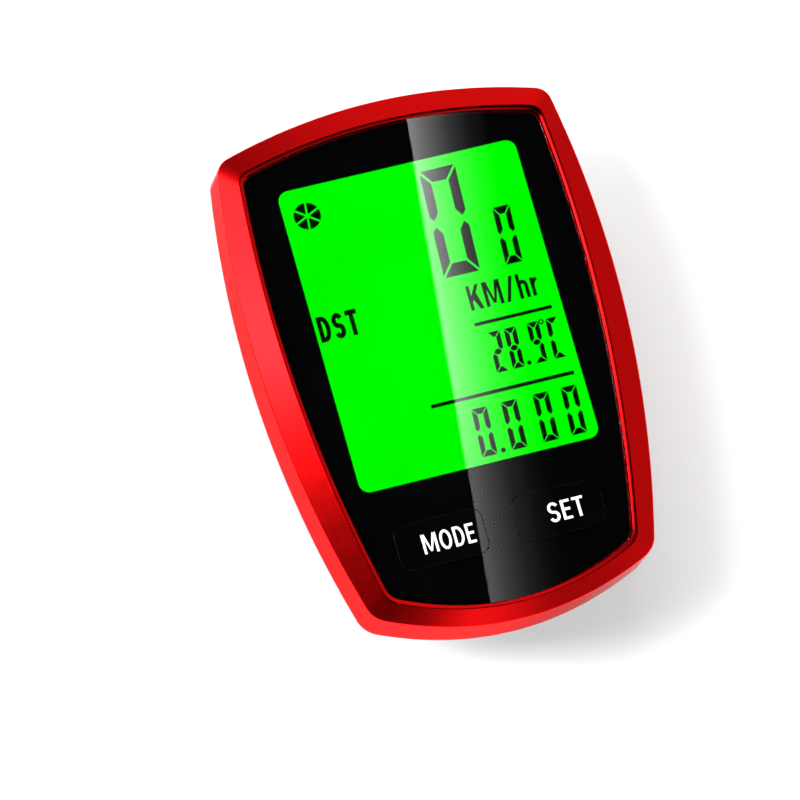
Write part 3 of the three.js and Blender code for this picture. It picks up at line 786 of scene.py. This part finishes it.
def bay_mouth():
    """Round mouth with three entries for the cover's lugs."""
    step = 2.5
    points = []
    for k in range(round(360 / step)):
        a = step * k
        off = [abs((a - lug + LUG["turn"] + 180) % 360 - 180) for lug in LUG["angles"]]
        r = BAY["groove"] if min(off) <= LUG["half"] + LUG["clear"] else BAY["mouth"]
        points.append(Vector((r * math.cos(math.radians(a)), r * math.sin(math.radians(a)))))
    return points


def rear_case():
    """Black tray with the sliding foot, the battery bay and four screw recesses."""
    z0, floor_top = CASE["z0"], CASE["z0"] + CASE["floor"]
    section = [
        (ring_of(BODY, 5.0, z0), 0, 0),
        (ring_of(BODY, 2.0, z0), 0.35, 4),
        (ring_of(BODY, 1.0, z0 + 0.9), 0.35, 4),
        (ring_of(BODY, 0.4, CASE_SEAM_Z), 0.12, 3),
        (ring_of(BODY, 1.7, CASE_SEAM_Z), 0, 0),
        (ring_of(BODY, 1.7, TONGUE_TOP), 0.1, 2),
        (ring_of(BODY, 2.6, TONGUE_TOP), 0.1, 2),
        (ring_of(BODY, 2.65, floor_top + 0.9), 0, 0),
        (ring_of(BODY, 3.4, floor_top), 0, 0),
    ]
    tray = skin("tray", rounded(section, closed=False), closed=False)
    bay, groove = circle(BAY["r"], steps=ROUND), circle(BAY["groove"], steps=ROUND)
    cuts = [prism("bay_cut", bay, z0 - 1, floor_top + 1)]
    cuts += [prism("recess_cut", circle(CASE["screw_recess"], x, y), z0 - 1, CASE["screw_seat"])
             for x, y in CASE_SCREWS]
    tray = smooth(cut(tray, cuts), angle=40)
    foot_z, foot_step, flange_top = low("rear_case").z, BAY["groove_z"], FOOT["flange_top"]
    flange, neck = foot_outline(FOOT["x"], 0.5), foot_outline(FOOT["neck"], 0.4)
    notch = box("notch_cut", -NOTCH["x"], NOTCH["x"], NOTCH["y0"], NOTCH["y1"],
                foot_z - 1, foot_z + NOTCH["depth"])
    sole = plate("flange", flange, foot_z, foot_step, [bay_mouth()], edge=0.12)
    pieces = [
        tray,
        cut(sole, [notch]),
        plate("flange_top", flange, foot_step, flange_top, [groove], edge=0.1),
        plate("neck", neck, flange_top, BAY["seal_z"], [groove]),
        plate("neck", neck, BAY["seal_z"], BAY["seal_top"], [circle(BAY["seal_r"], steps=ROUND)]),
        plate("neck", neck, BAY["seal_top"], z0 + 0.05, [bay]),
        plate("bay_wall", circle(BAY["r"] + BAY["wall"], steps=ROUND), floor_top - 0.05, BAY["top"],
              [bay], edge=0.1),
    ]
    pieces += [plate("post", circle(CASE["post"], x, y), CASE["screw_seat"], TONGUE_TOP - 0.1,
                     [circle(CASE["pilot"], x, y)]) for x, y in CASE_SCREWS]
    return place(joined("rear_shell", pieces), BLACK, "head", "black_plastic", "rear_case")


def battery_cover():
    """Coin-slot cover with a turned step round it, a finger dimple and three bayonet lugs."""
    z0, z1 = low("battery_cover").z, high("battery_cover").z
    lid = plate("lid", circle(LID["r"], steps=120), z0, z1, edge=0.22)
    ring_in, ring_out = (circle(r, steps=96) for r in LID["ring"])
    dot = circle(LID["dot_r"], 0, LID["dot_y"], 24)
    tools = [
        plate("slot_cut", round_rect(*LID["slot"]), z0 - 1, z0 + LID["slot_depth"]),
        plate("ring_cut", ring_out, z0 - 1, z0 + LID["ring_depth"], [ring_in]),
        plate("dot_cut", dot, z0 - 1, z0 + LID["dot_depth"]),
    ]
    lid = smooth(cut(lid, tools), ease=0.06, angle=40)
    lugs = [prism("lug", sector(LUG["r0"], LUG["r"], a - LUG["half"], a + LUG["half"]), LUG["z"], z1)
            for a in LUG["angles"]]
    cover = joined("coin_cover", [lid, *lugs])
    return place(cover, COVER_BLACK, "battery_door", "black_plastic", "battery_cover")


def case_screw(i, x, y):
    """Pan head with a cross recess, and the shank up into its post."""
    node = f"case_screw_{i}"
    z0, z1 = low(node).z, high(node).z
    seat = CASE["screw_seat"] - 0.05
    head = plate("pan", circle(SCREW["head_r"], x, y), z0, seat, edge=0.2)
    cross = [box("cross_cut", x - a, x + a, y - b, y + b, z0 - 1, z0 + SCREW["cross_depth"])
             for a, b in (SCREW["cross"], SCREW["cross"][::-1])]
    head = smooth(cut(head, cross), ease=0.03, angle=40)
    shank = prism("shank", circle(SCREW["shank_r"], x, y, 24), seat - 0.1, z1)
    return place(joined(f"pan_screw_{i}", [head, shank]), STEEL, "head", "steel", node)


# ------------------------ bracket
DOCK = dict(x=17.6, y=21.0, r=3.0, base_t=2.0, rail_y1=14.0, foot_gap=0.25, stop=2.0, sink=0.3,
            wall_x=15.25, lip_x=13.65, lip_z=6.7)
STRAP = dict(x=11.0, y=18.7, w=3.6, h=1.8, r=0.5)
LATCH = dict(x=4.6, pin=(8.3, 3.9), pin_r=0.5, bore_x=6.8, window=5.0, window_y0=6.5, top=4.6,
             tab=2.2, ramp=0.4)
HOOK = dict(x=2.9, y0=14.5, tip_y=15.1, y1=15.9, top=5.6)
GROOVE = dict(x=3.7, w=0.17, pitch=0.4, depth=0.15, from_end=1.15)
LEAF = dict(t=0.25, steps=16, touch=0.375)
# Radius of the pad's hollow for the bar.
BAR_R = 25.0


def dock():
    """Slotted base with two undercut rails and an end stop."""
    z0, rail_top = low("dock").z, high("dock").z
    top = z0 + DOCK["base_t"]
    slots = [round_rect(STRAP["w"], STRAP["h"], STRAP["r"], sx * STRAP["x"], sy * STRAP["y"])
             for sx in (-1, 1) for sy in (-1, 1)]
    base = plate("base", round_rect(2 * DOCK["x"], 2 * DOCK["y"], DOCK["r"]), z0, top, slots, edge=0.22)
    cuts = [box("window_cut", -LATCH["window"], LATCH["window"], LATCH["window_y0"], DOCK["y"] + 1,
                0, top + 1),
            rod_x("bore_cut", LATCH["pin_r"] + 0.05, -LATCH["bore_x"], LATCH["bore_x"], *LATCH["pin"])]
    base = cut(base, cuts)
    foot = top - DOCK["sink"]
    y0 = FOOT["y0"] - DOCK["foot_gap"] - DOCK["stop"]
    x, wall, lip, lip_z = (DOCK[key] for key in ("x", "wall_x", "lip_x", "lip_z"))
    corners = [(x, foot), (x, rail_top), (lip, rail_top), (lip, lip_z), (wall, lip_z), (wall, foot)]
    # The rails start inside the stop, which is a hair smaller, so that no faces coincide.
    rails = []
    for s in (-1, 1):
        rail = along_y("rail", [(s * a, b) for a, b in corners], y0 + DOCK["stop"] / 2, DOCK["rail_y1"])
        rails.append(smooth(rail, ease=0.22, angle=40, steps=3))
    stop = box("stop", -x + 0.02, x - 0.02, y0, y0 + DOCK["stop"], foot, rail_top - 0.01)
    stop = smooth(stop, ease=0.22, angle=40, steps=3)
    bracket = joined("bracket_base", [base, *rails, stop])
    return place(bracket, BLACK, "bracket", "black_plastic", "dock")


def latch_lever():
    """Arm with the hook that holds the foot and a grooved tab, low enough for the foot to pass."""
    y0, y1, z0 = low("latch_lever").y, high("latch_lever").y, low("latch_lever").z
    z1, flat = low("rear_case").z - 0.1, LATCH["top"]
    tab = y1 - LATCH["tab"]
    side = [(y0, z0), (y1, z0), (y1, z1), (tab, z1), (tab - LATCH["ramp"], flat), (y0, flat)]
    arm = smooth(across("arm", side, -LATCH["x"], LATCH["x"]), ease=0.18, angle=25, steps=3)
    starts = [y1 - GROOVE["from_end"] + k * GROOVE["pitch"] for k in range(2)]
    grooves = [box("groove_cut", -GROOVE["x"], GROOVE["x"], y, y + GROOVE["w"],
                   z1 - GROOVE["depth"], z1 + 1) for y in starts]
    bore = rod_x("bore_cut", LATCH["pin_r"] + 0.08, -6, 6, *LATCH["pin"])
    arm = cut(arm, [bore, *grooves])
    hook = [(HOOK["y0"], flat - 0.2), (HOOK["y1"], flat - 0.2), (HOOK["tip_y"], HOOK["top"]),
            (HOOK["y0"], HOOK["top"])]
    tooth = smooth(across("tooth", hook, -HOOK["x"], HOOK["x"]), ease=0.1, angle=25)
    lever = joined("thumb_lever", [arm, tooth])
    return place(lever, COVER_BLACK, "latch", "black_plastic", "latch_lever")


def latch_pin():
    """Steel pin through the bracket and the lever."""
    reach = high("latch_pin").x
    pin = rod_x("pin", LATCH["pin_r"], -reach, reach, *LATCH["pin"], edge=0.1)
    return place(smooth(pin), STEEL, "bracket", "steel", "latch_pin")


def latch_spring():
    """Bowed leaf that pushes the lever up."""
    lowest, highest = low("latch_spring"), high("latch_spring")
    t, touch = LEAF["t"], LEAF["touch"]
    top, under = [], []
    for k in range(LEAF["steps"] + 1):
        u = k / LEAF["steps"]
        y = lowest.y + (highest.y - lowest.y) * u
        z = lowest.z + (highest.z - t - lowest.z) * ((u - touch) / (1 - touch)) ** 2
        under.append((y, z))
        top.append((y, z + t))
    leaf = smooth(across("leaf", under + top[::-1], lowest.x, highest.x), ease=0.05, angle=40)
    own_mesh(place(leaf, STEEL, "bracket", "steel", "latch_spring"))


def dock_pad():
    """Rubber block with a hollow for the bar between two flat lands."""
    land, steps = 3.3, 24
    y0, y1, h = low("dock_pad").y, high("dock_pad").y, high("dock_pad").z
    middle, half = (y0 + y1) / 2, (y1 - y0) / 2 - land
    depth = BAR_R - math.sqrt(BAR_R ** 2 - half ** 2)
    hollow = []
    for k in range(steps + 1):
        y = half - 2 * half * k / steps
        hollow.append((middle - y, math.sqrt(BAR_R ** 2 - y ** 2) + depth - BAR_R))
    profile = [(y0, 0), *hollow, (y1, 0), (y1, h), (y0, h)]
    reach = high("dock_pad").x
    pad = smooth(across("pad", profile, -reach, reach), ease=0.2, angle=35)
    return place(pad, RUBBER, "bracket", "black_rubber", "dock_pad")


rear_case()
battery_cover()
for number, (screw_x, screw_y) in enumerate(CASE_SCREWS, 1):
    case_screw(number, screw_x, screw_y)
dock()
latch_lever()
latch_pin()
latch_spring()
dock_pad()


# ------------------------ inner parts, as packed
def dress(material, *nodes):
    """Gives CAD nodes a material; their meshes stay as packed."""
    for node in nodes:
        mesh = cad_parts[node].data
        mesh.materials.clear()
        mesh.materials.append(material)


dress(GLASS, "lcd_front_glass", "lcd_rear_glass", "light_guide")
dress(WHITE, "lcd_diffuser", "reflector_film", "lcd_holder", "backlight_led_left",
      "backlight_led_right")
dress(circuit_board(), "main_board")
dress(STEEL, "board_screw_1", "board_screw_2", "mode_switch", "set_switch", "crystal_can",
      "battery_cell")
dress(plated_steel("contact_plating", (0.62, 0.42, 0.16)), "contact_negative", "contact_positive")
dress(BLACK, "controller_chip", "capacitor", "mode_plunger", "set_plunger")
dress(plain_grain("ferrite_grey", (0.03, 0.03, 0.033), 0.7), "antenna_core")
dress(plain_grain("connector_pink", (0.62, 0.26, 0.33), 0.75), "zebra_connector")
dress(copper_winding(), "antenna_coil")
dress(RUBBER, "case_seal", "battery_seal")


# ------------------------ screen
SEGMENT_T = 0.02
SLANT = math.tan(math.radians(2.5))


def shrunk(points, d):
    """Convex polygon with each side moved in by d."""
    count = len(points)
    area = sum(points[i].x * points[(i + 1) % count].y - points[(i + 1) % count].x * points[i].y
               for i in range(count))
    if area < 0:
        points = points[::-1]
    result = []
    for i in range(count):
        a, b, c = points[i - 1], points[i], points[(i + 1) % count]
        result.append(b + mitre((b - a).normalized(), (c - b).normalized(), d))
    return result


def digit_segments(w, h, v, t):
    """The seven segments of a digit w by h, by letter: uprights v wide, the others t."""
    m, point, tip = h / 2, v * 0.45, v * 0.1
    outer, inner = tip + v * 0.5, tip + t / 2 + v * 0.15
    shapes = {
        "a": [(0, h), (w, h), (w - v, h - t), (v, h - t)],
        "b": [(w, h), (w, m + outer), (w - point, m + tip), (w - v, m + inner), (w - v, h - t)],
        "c": [(w, 0), (w, m - outer), (w - point, m - tip), (w - v, m - inner), (w - v, t)],
        "d": [(0, 0), (w, 0), (w - v, t), (v, t)],
        "e": [(0, 0), (0, m - outer), (point, m - tip), (v, m - inner), (v, t)],
        "f": [(0, h), (0, m + outer), (point, m + tip), (v, m + inner), (v, h - t)],
        "g": [(v * 0.35, m), (v * 0.85, m + t / 2), (w - v * 0.85, m + t / 2), (w - v * 0.35, m),
              (w - v * 0.85, m - t / 2), (v * 0.85, m - t / 2)],
    }
    return {key: [Vector(p) for p in shape] for key, shape in shapes.items()}


DIGITS = {"0": "abcdef", "2": "abged", "8": "abcdefg", "9": "abcdfg", "C": "adef"}


def digit(character, x, y, w, h, v, t, gap):
    """Lit segments of one character: lower left corner at x, y, seen size w by h, leaning right."""
    shapes = digit_segments(w + gap, h + gap, v + gap, t + gap)
    corner = Vector((x - gap / 2, y - gap / 2))
    return [[corner + Vector((p.x + p.y * SLANT, p.y)) for p in shrunk(shapes[key], gap / 2)]
            for key in DIGITS[character]]


def bar(x0, x1, y, t):
    """Level line t thick."""
    return rect(x0, x1, y - t / 2, y + t / 2)


def wheel_icon(x, y, r, gap):
    """Wheel of six wedges."""
    steps, first, wide = 6, 25, 60
    wedges = []
    for k in range(6):
        start = first + wide * k
        wedge = [Vector((0, 0))] + sector(0, r, start, start + wide, steps)[:steps + 1]
        wedges.append([p + Vector((x, y)) for p in shrunk(wedge, gap / 2)])
    return wedges


# Each row of digits: seen width and height, stroke of the uprights and of the rest, gap.
SPEED = dict(w=4.6, h=13.6, v=1.22, t=1.62, gap=0.27)
TENTHS = dict(w=2.15, h=7.25, v=0.66, t=0.95, gap=0.15)
HEAT = dict(w=1.5, h=5.07, v=0.56, t=0.66, gap=0.11)
TRIP = dict(w=1.95, h=6.0, v=0.62, t=0.74, gap=0.12)


def screen_marks():
    """Everything dark on the screen, in millimetres on its face."""
    marks = digit("0", 2.1, 9.55, **SPEED) + digit("0", 9.95, 9.45, **TENTHS)
    for character, x in zip("289C", (5.15, 7.2, 10.1, 12.5)):
        marks += digit(character, x, -3.27, **HEAT)
    for x in (0.53, 4.3, 8.32, 11.88):
        marks += digit("0", x, -12.9, **TRIP)
    marks += [circle(0.27, 9.34, -2.96, 12), circle(0.3, 3.25, -12.61, 12)]
    marks += [bar(4.12, 13.96, 3.12, 0.42), bar(-3.81, 14.32, -5.4, 0.45)]
    return marks + wheel_icon(-12.0, 21.0, 1.78, 0.24)


def degree_sign():
    """Small ring beside the temperature."""
    rim, hole = (circle(r, 12.15, 1.6, 20) for r in (0.33, 0.17))
    return plate("degree", rim, LCD_FACE, LCD_FACE + SEGMENT_T, [hole])


def screen():
    """Green face, and the dark segments that stand on it."""
    node = "lcd_front_polariser"
    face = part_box(node)
    w, h = (face[1] - face[0]).xy / MM
    middle = (face[0] + face[1]) / 2 / MM
    sheet = plate("screen_face", round_rect(w, h, 0.4, middle.x, middle.y), low(node).z, LCD_FACE,
                  edge=0.03)
    place(smooth(sheet), GREEN, "head", "green_screen", node)
    marks = [prism(f"mark_{i}", shape, LCD_FACE, LCD_FACE + SEGMENT_T)
             for i, shape in enumerate(screen_marks())]
    marks.append(degree_sign())
    marks.append(lettering("unit", "KM/hr", 8.7, 6.45, 3.1, 8.8, 0.45, LCD_FACE, SEGMENT_T))
    marks.append(lettering("label", "DST", -12.0, 6.95, 3.2, 5.0, 0.6, LCD_FACE, SEGMENT_T))
    place(joined("screen_segments", marks), SEGMENT, "head", "green_screen")


screen()


# ------------------------ stage and light
LIGHT_AIM = Vector((0, 0, 10))


def floor():
    """Plain pale floor under the bracket."""
    reach, thick = 3000, 4
    ground = box("floor", -reach, reach, -reach, reach, -thick, 0)
    look = Look("floor_paper", (0.82, 0.82, 0.82), 0.6)
    look.vary_colour(look.noise(60, 2), 0.01)
    ground.data.materials.append(look.bump(look.noise(1.5, 3), 0.01).material)


def soft_box(name, at, size, power):
    """Rectangular studio light aimed at the object, with its place and size in millimetres."""
    data = bpy.data.lights.new(name, "AREA")
    data.shape, data.size, data.size_y, data.energy = "RECTANGLE", size[0] * MM, size[1] * MM, power
    light = linked(name, data)
    light.location = Vector(at) * MM
    light.rotation_mode = "QUATERNION"
    light.rotation_quaternion = (LIGHT_AIM - Vector(at)).to_track_quat("-Z", "Y")
    light.visible_glossy = False


# Light card that the window mirrors: its height over it, the ends of its sharp edge, how far it goes
# past them, its width, and its light along and across, from 0 to 1.
GLARE_HEIGHT = 400.0
GLARE_EDGE = ((93.1, 130.7), (82.5, 33.9))
GLARE_REACH = 30.0
GLARE_WIDTH = 16.0
GLARE_ALONG = ((0.19, 0.37), (0.36, 0.45), (0.48, 0.64), (0.64, 0.68), (0.81, 0.97))
GLARE_ACROSS = ((0, 1.0), (0.15, 0.62), (0.3, 0.36), (0.5, 0.14), (0.75, 0.03), (1, 0))
GLARE_POWER = 6.4


def grey_ramp(tree, source, stops):
    """Colour ramp over source, from (position, light) pairs, with light from 0 to 1."""
    return colour_ramp(tree, source, [(position, (light,) * 3) for position, light in stops])


def glare_card():
    """Narrow light card over the window: bright along its sharp left edge, fading to the right."""
    z = LENS_TOP + GLARE_HEIGHT
    top, bottom = (Vector(p) for p in GLARE_EDGE)
    along = (top - bottom).normalized()
    top, bottom = top + along * GLARE_REACH, bottom - along * GLARE_REACH
    across_edge = Vector((along.y, -along.x)) * GLARE_WIDTH
    corners = [bottom, bottom + across_edge, top + across_edge, top]
    card = mesh_object("glare_card", [(*c, z) for c in corners], [(0, 1, 2, 3)])
    uv = card.data.uv_layers.new(name="UVMap")
    for loop in card.data.loops:
        uv.data[loop.index].uv = ((0, 0), (1, 0), (1, 1), (0, 1))[loop.vertex_index]
    material = bpy.data.materials.new("glare_light")
    material.use_nodes = True
    tree = material.node_tree
    add, link = tree.nodes.new, tree.links.new
    tree.nodes.clear()
    place_on = add("ShaderNodeUVMap")
    split = add("ShaderNodeSeparateXYZ")
    link(place_on.outputs["UV"], split.inputs["Vector"])
    power = add("ShaderNodeMath")
    power.operation = "MULTIPLY"
    power.inputs[1].default_value = GLARE_POWER
    link(grey_ramp(tree, split.outputs["Y"], GLARE_ALONG), power.inputs[0])
    glow = add("ShaderNodeEmission")
    link(grey_ramp(tree, split.outputs["X"], GLARE_ACROSS), glow.inputs["Color"])
    link(power.outputs["Value"], glow.inputs["Strength"])
    link(glow.outputs["Emission"], add("ShaderNodeOutputMaterial").inputs["Surface"])
    card.data.materials.append(material)
    card.visible_camera = False
    card.visible_diffuse = False
    card.visible_shadow = False


# Light of the walls by bearing in degrees from +X, and of the ceiling, which starts at CEILING.
ROOM = ((-180, 0.22), (-176, 0.18), (-172, 0.16), (-140, 0.16), (-106, 0.14), (-98, 0.4), (-90, 1.2),
        (-82, 0.95), (-70, 0.4), (-58, 0.4), (-48, 0.6), (-10, 0.5), (30, 0.55), (62, 0.8), (80, 0.75),
        (92, 0.3), (120, 0.5), (142, 1.0), (150, 3.0), (155, 6.5), (160, 9.0), (163, 16.0),
        (166, 16.0), (169, 3.5), (172, 0.9), (175, 0.4), (180, 0.22))
ROOM_PEAK = 16.0
CEILING, CEILING_LIGHT = (0.72, 0.88), 0.02


def surroundings():
    """Studio of brighter and darker walls under a dark ceiling, seen mainly in the red finish."""
    world = bpy.data.worlds.new("studio")
    bpy.context.scene.world = world
    world.use_nodes = True
    tree = world.node_tree
    add, link = tree.nodes.new, tree.links.new
    background = tree.nodes["Background"]
    direction = add("ShaderNodeTexCoord").outputs["Generated"]
    bearing = add("ShaderNodeTexGradient")
    bearing.gradient_type = "RADIAL"
    link(direction, bearing.inputs["Vector"])
    stops = [(angle / 360 + 0.5, light / ROOM_PEAK) for angle, light in ROOM]
    link(grey_ramp(tree, bearing.outputs["Fac"], stops), background.inputs["Color"])
    split = add("ShaderNodeSeparateXYZ")
    link(direction, split.inputs["Vector"])
    height = map_range(tree, split.outputs["Z"], CEILING, (ROOM_PEAK, CEILING_LIGHT))
    link(height, background.inputs["Strength"])


floor()
glare_card()
surroundings()
soft_box("key_light", (-520, 120, 560), (260, 420), 5.8)
soft_box("fill_light", (500, -260, 420), (300, 300), 4.0)
soft_box("top_light", (-60, 620, 620), (500, 200), 3.5)

bpy.context.scene.view_settings.view_transform = "Standard"
